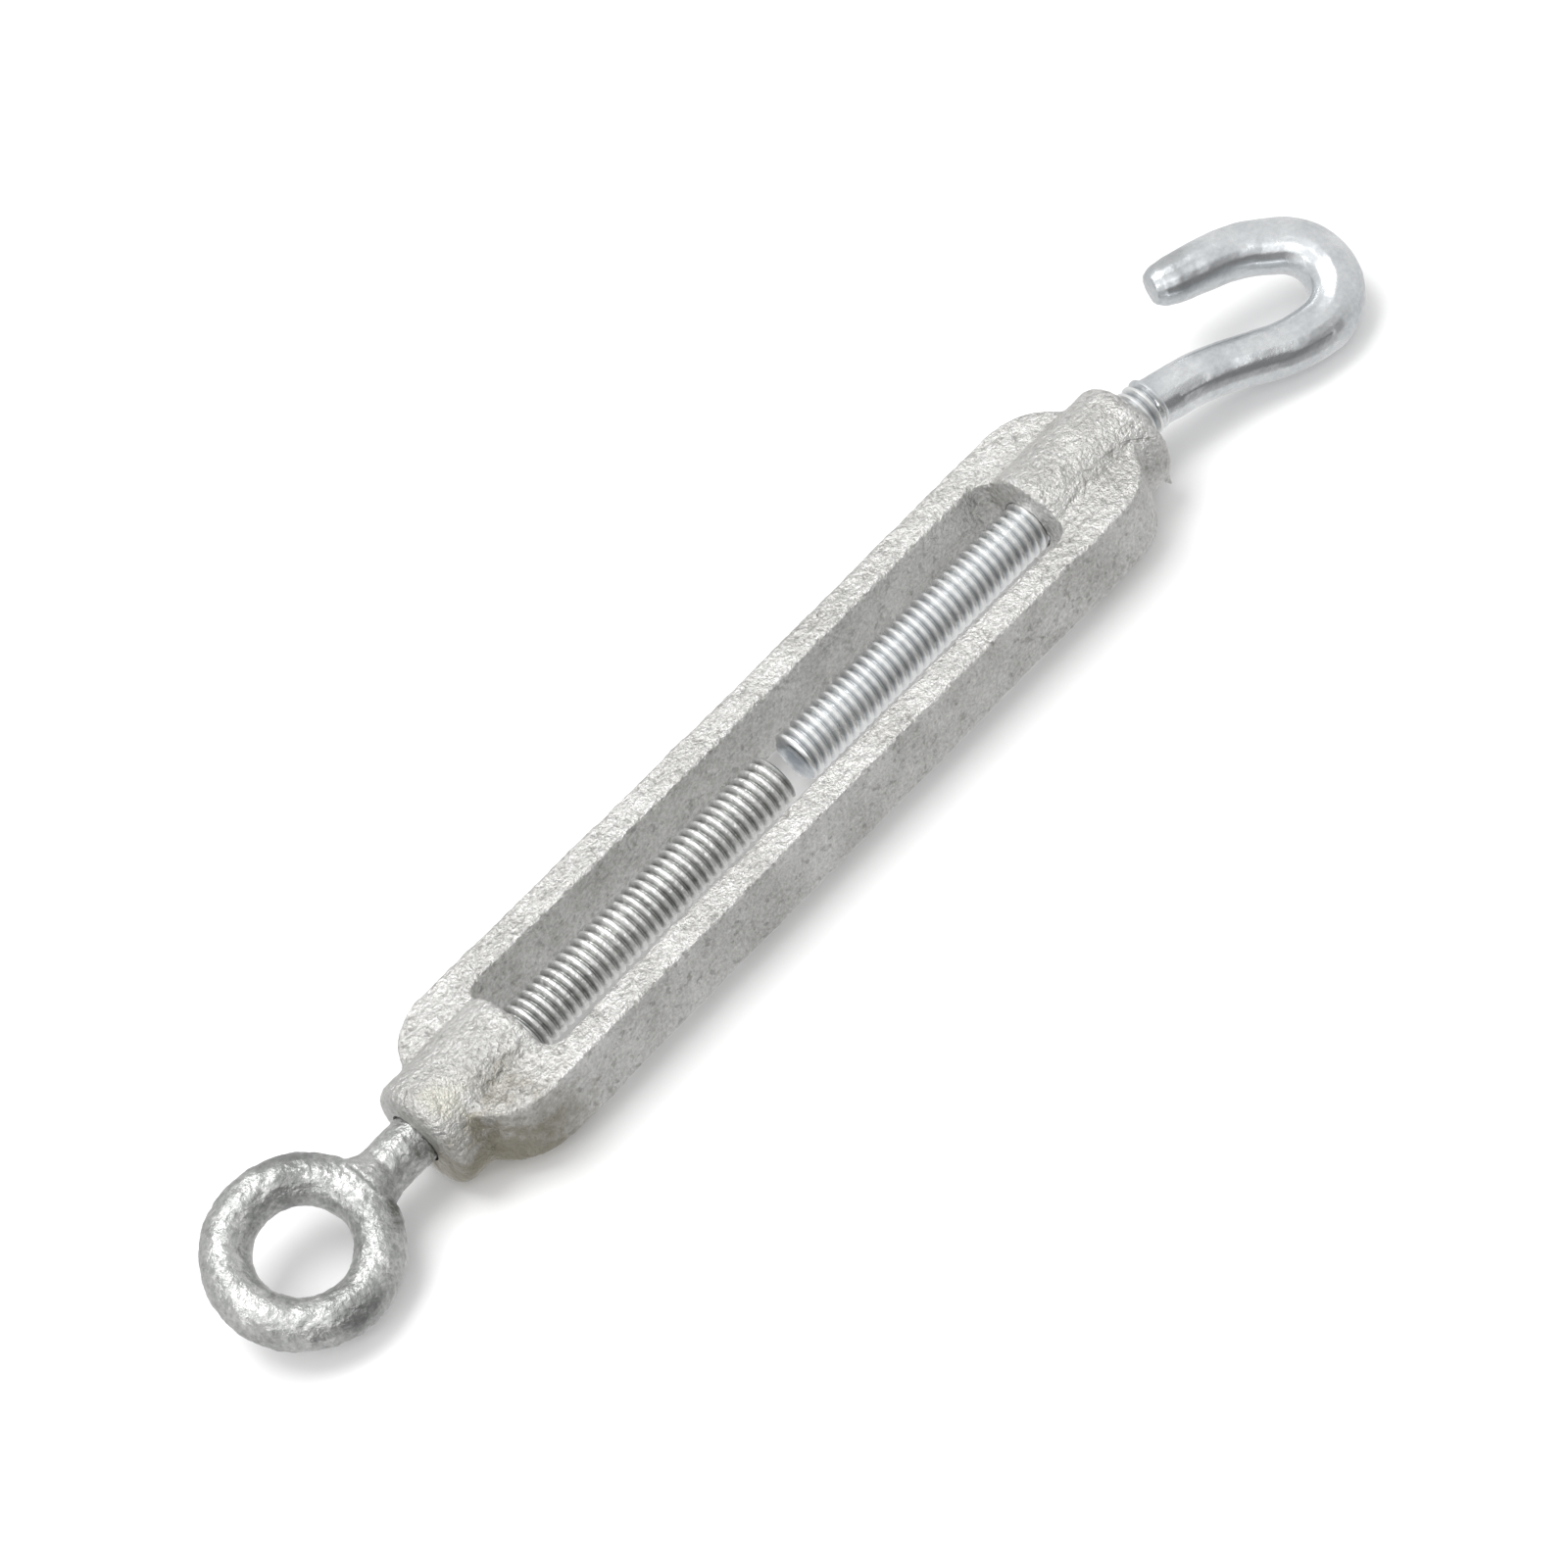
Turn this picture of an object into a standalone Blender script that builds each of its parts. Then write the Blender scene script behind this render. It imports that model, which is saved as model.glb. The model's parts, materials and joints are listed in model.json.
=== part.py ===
"""Rigging turnbuckle: cast open body, right-hand eye bolt and left-hand hook bolt, in metres, +Z up.

X runs along the thread axis from the eye to the hook and Y runs across the two bars of the body.
"""

import math

import bmesh
import bpy
from mathutils import Matrix, Vector

MM = 0.001

# Thread: 5/16 inch, 18 turns to the inch, right hand on the eye bolt and left hand on the hook bolt.
PITCH = 25.4 / 18 * MM
THREAD_CREST_R = 3.92 * MM
THREAD_ROOT_R = 3.14 * MM
CREST_FLAT = 0.22
THREAD_SIDES = 12
RADIAL_PLAY = 0.3 * MM
FLANK_PLAY = 0.12

# Body casting.
BODY_HALF_LENGTH = 70.1 * MM
BOSS_R = 8.3 * MM
BOSS_EDGE_R = 2.2 * MM
FRAME_HALF_LENGTH = 65.5 * MM
FRAME_CORNER_R = 10.0 * MM
FRAME_END_HALF_WIDTH = 13.2 * MM
FRAME_MID_HALF_WIDTH = 12.9 * MM
BAR_DEPTH = 10.6 * MM
BAR_EDGE_R = 1.2 * MM
SLOT_HALF_LENGTH = 50.65 * MM
SLOT_END_HALF_WIDTH = 8.45 * MM
SLOT_MID_HALF_WIDTH = 7.95 * MM
SLOT_CORNER_R = 2.5 * MM
CAST_OFFSET_X = -0.9 * MM
CAST_OFFSET_Y = -0.95 * MM
SLOT_OFFSET_X = -1.85 * MM
MOUTH_R = 4.3 * MM
MOUTH_DEPTH = 3.0 * MM

# Eye bolt.
EYE_TIP_X = -1.9 * MM
EYE_THREAD_END_X = -69.5 * MM
EYE_CENTRE_X = -91.7 * MM
EYE_RING_R = 9.95 * MM
EYE_WIRE_R = 3.47 * MM
EYE_NECK_R = 3.7 * MM
EYE_FILLET_X = -79.6 * MM
EYE_FILLET_R = 4.9 * MM
EYE_TURN = math.radians(19)

# Hook bolt. Hook points are (along X, away from the axis, wire radius).
HOOK_TIP_X = 1.5 * MM
HOOK_THREAD_END_X = 74.6 * MM
HOOK_TURN = math.radians(24)
HOOK_SHANK = [(72.4, 0.0, 3.55), (76.4, -0.9, 3.6), (82.0, -2.4, 3.7), (88.3, -5.4, 3.75), (93.8, -8.2, 3.85)]
HOOK_BEND_CENTRE = (99.9, -2.35)
HOOK_BEND_R = 7.2
HOOK_BEND_ARC = (-102, 54)
HOOK_BEND_POINTS = 6
HOOK_BEND_WIRE_R = 4.0
HOOK_POINT = [(99.4, 6.9, 3.9), (94.8, 8.75, 3.75), (90.6, 10.2, 3.45), (88.4, 11.0, 3.0), (87.2, 11.45, 2.2)]

# Core of each bolt, which carries its travel while the bolt around it turns.
CORE_R = 1.5 * MM
CORE_PLAY = 0.3 * MM
CORE_LENGTH = 60.0 * MM
CORE_SIDES = 12

TIP_CHAMFER = 0.9 * MM

COLOURS = {
    "turnbuckle_body": ((0.56, 0.56, 0.55), 0.62, 0.7),
    "eye_bolt": ((0.60, 0.61, 0.61), 0.48, 0.85),
    "eye_bolt_core": ((0.45, 0.47, 0.49), 0.5, 0.85),
    "hook_bolt": ((0.60, 0.63, 0.66), 0.36, 0.9),
    "hook_bolt_core": ((0.45, 0.47, 0.49), 0.5, 0.85),
}


def clearScene():
    for old in list(bpy.data.objects):
        bpy.data.objects.remove(old)


def newCollection(name):
    group = bpy.data.collections.new(name)
    bpy.context.scene.collection.children.link(group)
    return group


def addObject(name, mesh, group):
    thing = bpy.data.objects.new(name, mesh)
    group.objects.link(thing)
    return thing


def meshFrom(thing):
    """Mesh of an object with its modifiers, in world space."""
    graph = bpy.context.evaluated_depsgraph_get()
    mesh = bpy.data.meshes.new_from_object(thing.evaluated_get(graph))
    mesh.transform(thing.matrix_world)
    return mesh


def weld(mesh, distance=0.002 * MM):
    shape = bmesh.new()
    shape.from_mesh(mesh)
    bmesh.ops.remove_doubles(shape, verts=shape.verts, dist=distance)
    bmesh.ops.recalc_face_normals(shape, faces=shape.faces)
    shape.to_mesh(mesh)
    shape.free()


def bake(thing, group, name):
    """Replace an object by a plain mesh object of its evaluated, welded shape."""
    mesh = meshFrom(thing)
    weld(mesh)
    bpy.data.objects.remove(thing)
    return addObject(name, mesh, group)


def cutOrJoin(target, tool, operation):
    change = target.modifiers.new(operation.lower(), "BOOLEAN")
    change.operation = operation
    change.solver = "EXACT"
    change.object = tool
    tool.hide_render = True
    tool.display_type = "WIRE"


def cylinder(name, group, radius, xStart, xEnd, sides=40, endRadius=None):
    """Closed cylinder or cone along X."""
    shape = bmesh.new()
    bmesh.ops.create_cone(
        shape,
        cap_ends=True,
        segments=sides,
        radius1=radius,
        radius2=radius if endRadius is None else endRadius,
        depth=xEnd - xStart,
        matrix=Matrix.Translation(((xStart + xEnd) / 2, 0, 0)) @ Matrix.Rotation(math.pi / 2, 4, "Y"),
    )
    mesh = bpy.data.meshes.new(name)
    shape.to_mesh(mesh)
    shape.free()
    return addObject(name, mesh, group)


def rodThread():
    """Root radius, crest radius, and half of the root and crest flats as shares of a pitch."""
    return THREAD_ROOT_R, THREAD_CREST_R, 0, CREST_FLAT / 2


def tapThread():
    """The same thread with running clearance all round it."""
    rise = (0.5 - CREST_FLAT / 2) / (THREAD_CREST_R - THREAD_ROOT_R) * RADIAL_PLAY
    root = rise - FLANK_PLAY
    crest = CREST_FLAT / 2 - rise + FLANK_PLAY
    return THREAD_ROOT_R + RADIAL_PLAY, THREAD_CREST_R + RADIAL_PLAY, root, crest


def threadProfile(rootR, crestR, root, crest):
    """One pitch of thread as (share of a pitch, radius), from the end of one root to the end of the next."""
    ridge = [(root, rootR), (0.5 - crest, crestR), (0.5 + crest, crestR), (1 - root, rootR)]
    return ridge + [(1 + root, rootR)] if root else ridge


def threadedBar(name, group, thread, xLow, xHigh, hand):
    """Closed threaded bar along X, cut square at both ends. Every bar of one hand has the same phase."""
    lowTurn = math.floor(xLow / PITCH) - 2
    turns = math.ceil(xHigh / PITCH) + 2 - lowTurn
    profile = bpy.data.meshes.new(name)
    shape = bmesh.new()
    points = [shape.verts.new((r, 0, (t + lowTurn) * PITCH)) for t, r in threadProfile(*thread)]
    for first, second in zip(points, points[1:]):
        shape.edges.new((first, second))
    shape.to_mesh(profile)
    shape.free()
    bar = addObject(name + "_sweep", profile, group)
    screw = bar.modifiers.new("thread", "SCREW")
    screw.axis = "Z"
    screw.angle = hand * math.tau
    screw.screw_offset = PITCH
    screw.steps = THREAD_SIDES
    screw.render_steps = THREAD_SIDES
    screw.iterations = turns
    screw.use_merge_vertices = True
    screw.merge_threshold = 0.00001
    bar.matrix_world = Matrix.Rotation(math.pi / 2, 4, "Y")
    bpy.context.view_layer.update()
    mesh = meshFrom(bar)
    bpy.data.objects.remove(bar)
    closeBetween(mesh, xLow, xHigh)
    return addObject(name, mesh, group)


def closeBetween(mesh, xLow, xHigh):
    """Cut an open sweep square at two places along X and cap both ends."""
    shape = bmesh.new()
    shape.from_mesh(mesh)
    bmesh.ops.remove_doubles(shape, verts=shape.verts, dist=0.001 * MM)
    for x, side in ((xLow, -1), (xHigh, 1)):
        everything = shape.verts[:] + shape.edges[:] + shape.faces[:]
        bmesh.ops.bisect_plane(shape, geom=everything, plane_co=(x, 0, 0), plane_no=(side, 0, 0), clear_outer=True)
    rim = [edge for edge in shape.edges if edge.is_boundary]
    bmesh.ops.holes_fill(shape, edges=rim, sides=0)
    bmesh.ops.recalc_face_normals(shape, faces=shape.faces)
    shape.to_mesh(mesh)
    shape.free()


def arcPoints(centre, radius, start, end, steps):
    span = [start + (end - start) * i / steps for i in range(steps + 1)]
    return [(centre[0] + radius * math.cos(a), centre[1] + radius * math.sin(a)) for a in span]


def roundedOutline(halfLength, endHalf, midHalf, cornerR, cornerSteps, sideSteps):
    """Closed outline in X and Y: round corners, and long sides that draw in slightly towards the middle."""
    straight = halfLength - cornerR
    quarter = arcPoints((straight, endHalf - cornerR), cornerR, 0, math.pi / 2, cornerSteps)
    half = [straight * (1 - 2 * i / sideSteps) for i in range(1, sideSteps)]
    side = [(x, midHalf + (endHalf - midHalf) * (x / straight) ** 2) for x in half]
    top = quarter + side + [(-x, y) for x, y in reversed(quarter)]
    return top + [(-x, -y) for x, y in top]


def flatPlate(name, group, outline, depth, edgeR):
    """Plate centred on Z = 0 with its outline in X and Y and rounded edges."""
    curve = bpy.data.curves.new(name, "CURVE")
    curve.dimensions = "2D"
    curve.fill_mode = "BOTH"
    curve.extrude = depth / 2 - edgeR
    curve.bevel_depth = edgeR
    curve.bevel_resolution = 2 if edgeR else 0
    curve.offset = -edgeR
    line = curve.splines.new("POLY")
    line.points.add(len(outline) - 1)
    for point, (x, y) in zip(line.points, outline):
        point.co = (x, y, 0, 1)
    line.use_cyclic_u = True
    plate = addObject(name + "_outline", curve, group)
    bpy.context.view_layer.update()
    return bake(plate, group, name)


def roundedBoss(group):
    """Turned bar over the whole length of the body, with rounded outer edges."""
    rim = arcPoints((BODY_HALF_LENGTH - BOSS_EDGE_R, BOSS_R - BOSS_EDGE_R), BOSS_EDGE_R, math.pi / 2, 0, 4)
    half = rim + [(BODY_HALF_LENGTH, 0)]
    outline = [(-x, r) for x, r in reversed(half)] + half
    shape = bmesh.new()
    points = [shape.verts.new((r, 0, x)) for x, r in reversed(outline)]
    for first, second in zip(points, points[1:]):
        shape.edges.new((first, second))
    mesh = bpy.data.meshes.new("boss")
    shape.to_mesh(mesh)
    shape.free()
    boss = addObject("boss_profile", mesh, group)
    turn = boss.modifiers.new("turned", "SCREW")
    turn.axis = "Z"
    turn.steps = 40
    turn.render_steps = 40
    turn.use_merge_vertices = True
    turn.merge_threshold = 0.00001
    boss.matrix_world = Matrix.Rotation(math.pi / 2, 4, "Y")
    bpy.context.view_layer.update()
    return bake(boss, group, "boss_bar")


def makeBody(parts, cutters):
    frameOutline = roundedOutline(
        FRAME_HALF_LENGTH, FRAME_END_HALF_WIDTH, FRAME_MID_HALF_WIDTH, FRAME_CORNER_R, 6, 6
    )
    slotOutline = roundedOutline(SLOT_HALF_LENGTH, SLOT_END_HALF_WIDTH, SLOT_MID_HALF_WIDTH, SLOT_CORNER_R, 3, 6)
    body = flatPlate("turnbuckle_body", parts, frameOutline, BAR_DEPTH, BAR_EDGE_R)
    slot = flatPlate("slot_cutter", cutters, slotOutline, 3 * BOSS_R, 0)
    cutOrJoin(body, roundedBoss(cutters), "UNION")
    cutOrJoin(body, slot, "DIFFERENCE")
    body.location = (CAST_OFFSET_X, CAST_OFFSET_Y, 0)
    slot.location = (SLOT_OFFSET_X, CAST_OFFSET_Y, 0)
    cutters.objects["boss_bar"].location = (CAST_OFFSET_X, CAST_OFFSET_Y, 0)
    for side, hand in ((-1, 1), (1, -1)):
        inner = SLOT_OFFSET_X + side * (SLOT_HALF_LENGTH - 1.0 * MM)
        outer = CAST_OFFSET_X + side * (BODY_HALF_LENGTH + 1.0 * MM)
        tap = threadedBar("tap_cutter", cutters, tapThread(), min(inner, outer), max(inner, outer), hand)
        mouth = CAST_OFFSET_X + side * (BODY_HALF_LENGTH - MOUTH_DEPTH)
        opening = cylinder("mouth_cutter", cutters, MOUTH_R, min(mouth, outer), max(mouth, outer), 24)
        cutOrJoin(body, tap, "DIFFERENCE")
        cutOrJoin(body, opening, "DIFFERENCE")
    return body


def chamferStock(name, group, xTip, side):
    """Cone that opens at 45 degrees away from the tip, so that it only trims the tip's edge."""
    ends = (xTip - side * 0.1 * MM, xTip + side * 80 * MM)
    radii = (THREAD_CREST_R - TIP_CHAMFER - 0.1 * MM, THREAD_CREST_R - TIP_CHAMFER + 80 * MM)
    (low, lowR), (high, highR) = sorted(zip(ends, radii))
    return cylinder(name, group, lowR, low, high, 24, highR)


def threadedShank(name, parts, cutters, xTip, xEnd, hand):
    """Threaded length from the tip to xEnd, with a chamfered tip."""
    shank = threadedBar(name, parts, rodThread(), min(xTip, xEnd), max(xTip, xEnd), hand)
    side = 1 if xEnd > xTip else -1
    cutOrJoin(shank, chamferStock(name + "_stock", cutters, xTip, side), "INTERSECT")
    return shank


def drillForCore(bolt, name, parts, cutters, xTip, side):
    """Blind hole from the tip, and the core that stands in it."""
    deep = xTip + side * (CORE_LENGTH + CORE_PLAY)
    out = xTip - side * MM
    drill = cylinder(
        name + "_drill", cutters, CORE_R + CORE_PLAY, min(deep, out), max(deep, out), CORE_SIDES
    )
    cutOrJoin(bolt, drill, "DIFFERENCE")
    start = xTip + side * CORE_PLAY
    end = xTip + side * CORE_LENGTH
    return cylinder(name + "_core", parts, CORE_R, min(start, end), max(start, end), CORE_SIDES)


def makeEyeBolt(parts, cutters):
    bolt = threadedShank("eye_bolt", parts, cutters, EYE_TIP_X, EYE_THREAD_END_X, 1)
    neck = cylinder("eye_neck", cutters, EYE_NECK_R, EYE_CENTRE_X + EYE_RING_R, EYE_THREAD_END_X + 0.2 * MM, 32)
    flare = cylinder(
        "eye_flare", cutters, EYE_FILLET_R, EYE_CENTRE_X + EYE_RING_R, EYE_FILLET_X + 2.2 * MM, 32, EYE_NECK_R - 0.05 * MM
    )
    bpy.ops.mesh.primitive_torus_add(
        major_radius=EYE_RING_R,
        minor_radius=EYE_WIRE_R,
        major_segments=36,
        minor_segments=14,
        location=(EYE_CENTRE_X, 0, 0),
        rotation=(EYE_TURN, 0, 0),
    )
    ring = bake(bpy.context.object, cutters, "eye_ring")
    for tool in (neck, flare, ring):
        cutOrJoin(bolt, tool, "UNION")
    return bolt, drillForCore(bolt, "eye_bolt", parts, cutters, EYE_TIP_X, -1)


def hookPath():
    """Centre line of the hook as (x, offset, wire radius), in millimetres."""
    start, end = (math.radians(a) for a in HOOK_BEND_ARC)
    bend = arcPoints(HOOK_BEND_CENTRE, HOOK_BEND_R, start, end, HOOK_BEND_POINTS)
    return HOOK_SHANK + [(x, y, HOOK_BEND_WIRE_R) for x, y in bend] + HOOK_POINT


def makeHookWire(group):
    curve = bpy.data.curves.new("hook_wire", "CURVE")
    curve.dimensions = "3D"
    curve.bevel_depth = MM
    curve.bevel_resolution = 3
    curve.use_fill_caps = True
    curve.resolution_u = 3
    line = curve.splines.new("BEZIER")
    path = hookPath()
    line.bezier_points.add(len(path) - 1)
    for point, (x, y, radius) in zip(line.bezier_points, path):
        point.co = (x * MM, y * MM * math.cos(HOOK_TURN), y * MM * math.sin(HOOK_TURN))
        point.radius = radius
        point.handle_left_type = "AUTO"
        point.handle_right_type = "AUTO"
    wire = addObject("hook_wire_line", curve, group)
    bpy.context.view_layer.update()
    return bake(wire, group, "hook_wire")


def makeHookBolt(parts, cutters):
    bolt = threadedShank("hook_bolt", parts, cutters, HOOK_TIP_X, HOOK_THREAD_END_X, -1)
    cutOrJoin(bolt, makeHookWire(cutters), "UNION")
    return bolt, drillForCore(bolt, "hook_bolt", parts, cutters, HOOK_TIP_X, 1)


def paint(thing):
    colour, roughness, metallic = COLOURS[thing.name]
    material = bpy.data.materials.new(thing.name)
    material.use_nodes = True
    shader = material.node_tree.nodes["Principled BSDF"]
    shader.inputs["Base Color"].default_value = (*colour, 1)
    shader.inputs["Roughness"].default_value = roughness
    shader.inputs["Metallic"].default_value = metallic
    thing.data.materials.clear()
    thing.data.materials.append(material)


def finish(thing, group):
    """Plain mesh object with its modifiers applied and its material on."""
    name = thing.name
    mesh = meshFrom(thing)
    weld(mesh, 0.001 * MM)
    bpy.data.objects.remove(thing)
    done = addObject(name, mesh, group)
    mesh.shade_smooth()
    mesh.set_sharp_from_angle(angle=math.radians(30))
    paint(done)
    return done


def bounds(things):
    corners = [vertex.co for thing in things for vertex in thing.data.vertices]
    low = Vector([min(c[i] for c in corners) for i in range(3)])
    high = Vector([max(c[i] for c in corners) for i in range(3)])
    return low, high


def standOnOrigin(things):
    """Move everything so that the middle of the footprint is the origin and the lowest point is Z = 0."""
    low, high = bounds(things)
    shift = -Vector(((low.x + high.x) / 2, (low.y + high.y) / 2, low.z))
    for thing in things:
        thing.data.transform(Matrix.Translation(shift))
    print("thread axis at y %.6f z %.6f, bolt origin at x %.6f" % (shift.y, shift.z, shift.x))
    print("size", [round(v, 6) for v in high - low])


def main():
    clearScene()
    parts = newCollection("rigging_turnbuckle")
    cutters = newCollection("cutters")
    rough = [makeBody(parts, cutters), *makeEyeBolt(parts, cutters), *makeHookBolt(parts, cutters)]
    bpy.context.view_layer.update()
    done = [finish(thing, parts) for thing in rough]
    standOnOrigin(done)


main()
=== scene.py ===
import json
import math

import bpy
from mathutils import Matrix, Quaternion, Vector


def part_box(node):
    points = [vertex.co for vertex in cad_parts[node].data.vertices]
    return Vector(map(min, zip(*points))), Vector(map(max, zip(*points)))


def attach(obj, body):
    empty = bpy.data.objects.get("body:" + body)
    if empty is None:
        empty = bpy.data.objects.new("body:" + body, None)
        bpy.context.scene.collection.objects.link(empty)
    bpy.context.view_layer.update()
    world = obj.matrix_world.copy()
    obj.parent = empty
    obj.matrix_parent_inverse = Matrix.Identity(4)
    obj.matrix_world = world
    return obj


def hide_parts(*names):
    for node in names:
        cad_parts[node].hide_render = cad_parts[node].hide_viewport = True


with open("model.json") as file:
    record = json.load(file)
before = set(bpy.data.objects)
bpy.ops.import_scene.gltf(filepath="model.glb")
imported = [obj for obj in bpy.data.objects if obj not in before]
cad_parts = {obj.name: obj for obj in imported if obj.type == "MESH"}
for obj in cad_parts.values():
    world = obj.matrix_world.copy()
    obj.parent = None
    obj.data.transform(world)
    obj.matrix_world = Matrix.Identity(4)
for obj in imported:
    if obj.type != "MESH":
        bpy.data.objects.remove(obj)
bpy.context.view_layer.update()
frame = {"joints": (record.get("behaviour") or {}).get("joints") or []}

mm = 0.001
near = 0.01 * mm  # two places closer than this count as one
weldGap = 0.002 * mm
cutGap = 0.0001 * mm
barSides = 72
rodSides = 64
edgeSegments = 6
smoothShare = 0.5
smoothAngle = math.radians(40)
lumpContrast = 1.3
lumpDepth = 2

bodyLow, bodyHigh = (Vector(corner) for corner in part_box("turnbuckle_body"))
castMiddle = (bodyLow + bodyHigh) / 2
turnJoint = next(joint for joint in frame["joints"] if joint["name"] == "eye_turn")
boltOffset = 0.9 * mm  # bolts' own origin, measured from the middle of the casting
axisPoint = Vector((castMiddle.x + boltOffset, turnJoint["pos_m"][1], turnJoint["pos_m"][2]))


def deselectAll():
    bpy.ops.object.select_all(action="DESELECT")


def makeActive(piece):
    deselectAll()
    piece.select_set(True)
    bpy.context.view_layer.objects.active = piece


def named(name):
    piece = bpy.context.object
    piece.name = name
    piece.data.name = name
    return piece


def settle(piece):
    makeActive(piece)
    bpy.ops.object.transform_apply(location=True, rotation=True, scale=True)
    return piece


def modify(piece, kind, **settings):
    makeActive(piece)
    change = piece.modifiers.new(kind.lower(), kind)
    for name, value in settings.items():
        setattr(change, name, value)
    bpy.ops.object.modifier_apply(modifier=change.name)


def combine(piece, tool, operation):
    modify(piece, "BOOLEAN", operation=operation, solver="EXACT", object=tool)
    bpy.data.objects.remove(tool)


def joinAll(pieces, name):
    deselectAll()
    for piece in pieces:
        piece.select_set(True)
    bpy.context.view_layer.objects.active = pieces[0]
    bpy.ops.object.join()
    return named(name)


def openEdit(piece, mode):
    makeActive(piece)
    bpy.ops.object.mode_set(mode="EDIT")
    bpy.ops.mesh.select_mode(type=mode)
    bpy.ops.mesh.select_all(action="DESELECT")
    bpy.ops.object.mode_set(mode="OBJECT")


def pickEdges(piece, test):
    openEdit(piece, "EDGE")
    points = piece.data.vertices
    for edge in piece.data.edges:
        edge.select = test(*(points[i].co for i in edge.vertices))
    bpy.ops.object.mode_set(mode="EDIT")


def pickVerts(piece, test):
    openEdit(piece, "VERT")
    for point in piece.data.vertices:
        point.select = test(point.co)
    bpy.ops.object.mode_set(mode="EDIT")


def closeEdit():
    bpy.ops.object.mode_set(mode="OBJECT")


def cutAt(piece, place, normal, clear=False):
    makeActive(piece)
    bpy.ops.object.mode_set(mode="EDIT")
    bpy.ops.mesh.select_all(action="SELECT")
    bpy.ops.mesh.bisect(plane_co=place, plane_no=normal, clear_outer=clear, use_fill=clear, threshold=cutGap)
    closeEdit()


def lumps(piece, size, height):
    cloud = bpy.data.textures.new("lumps", "CLOUDS")
    cloud.noise_scale = size
    cloud.noise_depth = lumpDepth
    cloud.contrast = lumpContrast
    modify(piece, "DISPLACE", texture=cloud, strength=height, mid_level=0.5, texture_coords="LOCAL")


castParts = {
    "frameLength": 131.0 * mm,
    "frameWidth": 26.3 * mm,
    "middleWidth": 25.7 * mm,
    "barDepth": 10.5 * mm,
    "cornerRadius": 10.0 * mm,
    "cornerSegments": 10,
    "bossRadius": 8.25 * mm,
    "bossLength": 140.1 * mm,
    "bossEdge": 1.9 * mm,
    "slotShift": -0.95 * mm,
    "slotLength": 101.3 * mm,
    "slotWidth": 16.9 * mm,
    "slotMiddle": 15.9 * mm,
    "slotCorner": 2.6 * mm,
    "slotSegments": 6,
    "slotCutter": 40.0 * mm,
    "boreRadius": 4.0 * mm,
    "boreExtra": 10.0 * mm,
    "voxel": 0.36 * mm,
    "smoothing": 7,
    "lumpSize": 6.5 * mm,
    "lumpHeight": 0.28 * mm,
    "grainSize": 1.1 * mm,
    "grainHeight": 0.2 * mm,
}


def roundedBlock(name, middle, length, width, middleWidth, depth, corner, segments):
    # slimmest at the middle, with three quarters of that a quarter of the length away
    bpy.ops.mesh.primitive_cube_add(size=1, location=middle, scale=(length, width, depth))
    block = settle(named(name))
    for share in (-0.25, 0, 0.25):
        cutAt(block, middle + Vector((share * length, 0, 0)), (1, 0, 0))
    for share, pull in ((0, 1), (0.25, 0.75)):
        pickVerts(block, lambda p: abs(abs(p.x - middle.x) - share * length) < near)
        slim = 1 - (1 - middleWidth / width) * pull
        bpy.ops.transform.resize(value=(1, slim, 1), center_override=middle)
        closeEdit()
    pickEdges(
        block,
        lambda a, b: abs(a.z - b.z) > depth / 2 and abs(abs(a.x - middle.x) - length / 2) < near,
    )
    bpy.ops.mesh.bevel(offset=corner, segments=segments, affect="EDGES")
    closeEdit()
    return block


def turnedBar(name, middle, length, radius, edge):
    bpy.ops.mesh.primitive_cylinder_add(
        vertices=barSides, radius=radius, depth=length, location=middle, rotation=(0, math.pi / 2, 0)
    )
    bar = settle(named(name))
    pickEdges(bar, lambda a, b: abs(a.x - b.x) < near)
    if edge:
        bpy.ops.mesh.bevel(offset=edge, segments=edgeSegments, affect="EDGES")
    closeEdit()
    return bar


castFlaws = {
    "pits": [(-58.0, -10.4, 1.3), (-50.9, -9.8, 1.1), (20.5, 11.0, 1.0), (-12.0, -11.2, 0.8)],
    "pitDepth": 0.28 * mm,
    "pitLump": (0.7 * mm, 0.5 * mm),
    "creaseWay": [(63.9, 0.3), (65.6, 1.2), (67.2, 2.4), (69.2, 3.5)],
    "creaseWire": 0.2,
    "creaseSwell": (0.4, 1.2, 1.0, 0.4),
    "burrX": 68.6 * mm,
    "burrRadius": 1.0 * mm,
    "burrTip": 0.1 * mm,
    "burrHeight": 1.7 * mm,
}
lowSide = Vector((0, -0.786, -0.618))  # towards the underside of the front bar
highSide = Vector((0, -0.618, 0.786))  # square to it, towards the top of the front bar


def wireAlong(name, places, radii):
    # radii are in millimetres
    bpy.ops.curve.primitive_bezier_curve_add(location=(0, 0, 0))
    wire = bpy.context.object
    curve = wire.data
    curve.bevel_depth = mm
    curve.bevel_resolution = 8
    curve.use_fill_caps = True
    curve.resolution_u = 8
    points = curve.splines[0].bezier_points
    points.add(len(places) - len(points))
    for point, place, radius in zip(points, places, radii):
        point.co = place
        point.radius = radius
        point.handle_left_type = "AUTO"
        point.handle_right_type = "AUTO"
    makeActive(wire)
    bpy.ops.object.convert(target="MESH")
    wire = named(name)
    modify(wire, "WELD", merge_threshold=weldGap)
    return wire


def makeCrease():
    places = []
    for x, down in castFlaws["creaseWay"]:
        up = math.sqrt((castParts["bossRadius"] / mm) ** 2 - down**2)
        places.append(castMiddle + (Vector((x, 0, 0)) + lowSide * down + highSide * up) * mm)
    return wireAlong("crease", places, [castFlaws["creaseWire"] * share for share in castFlaws["creaseSwell"]])


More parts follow.
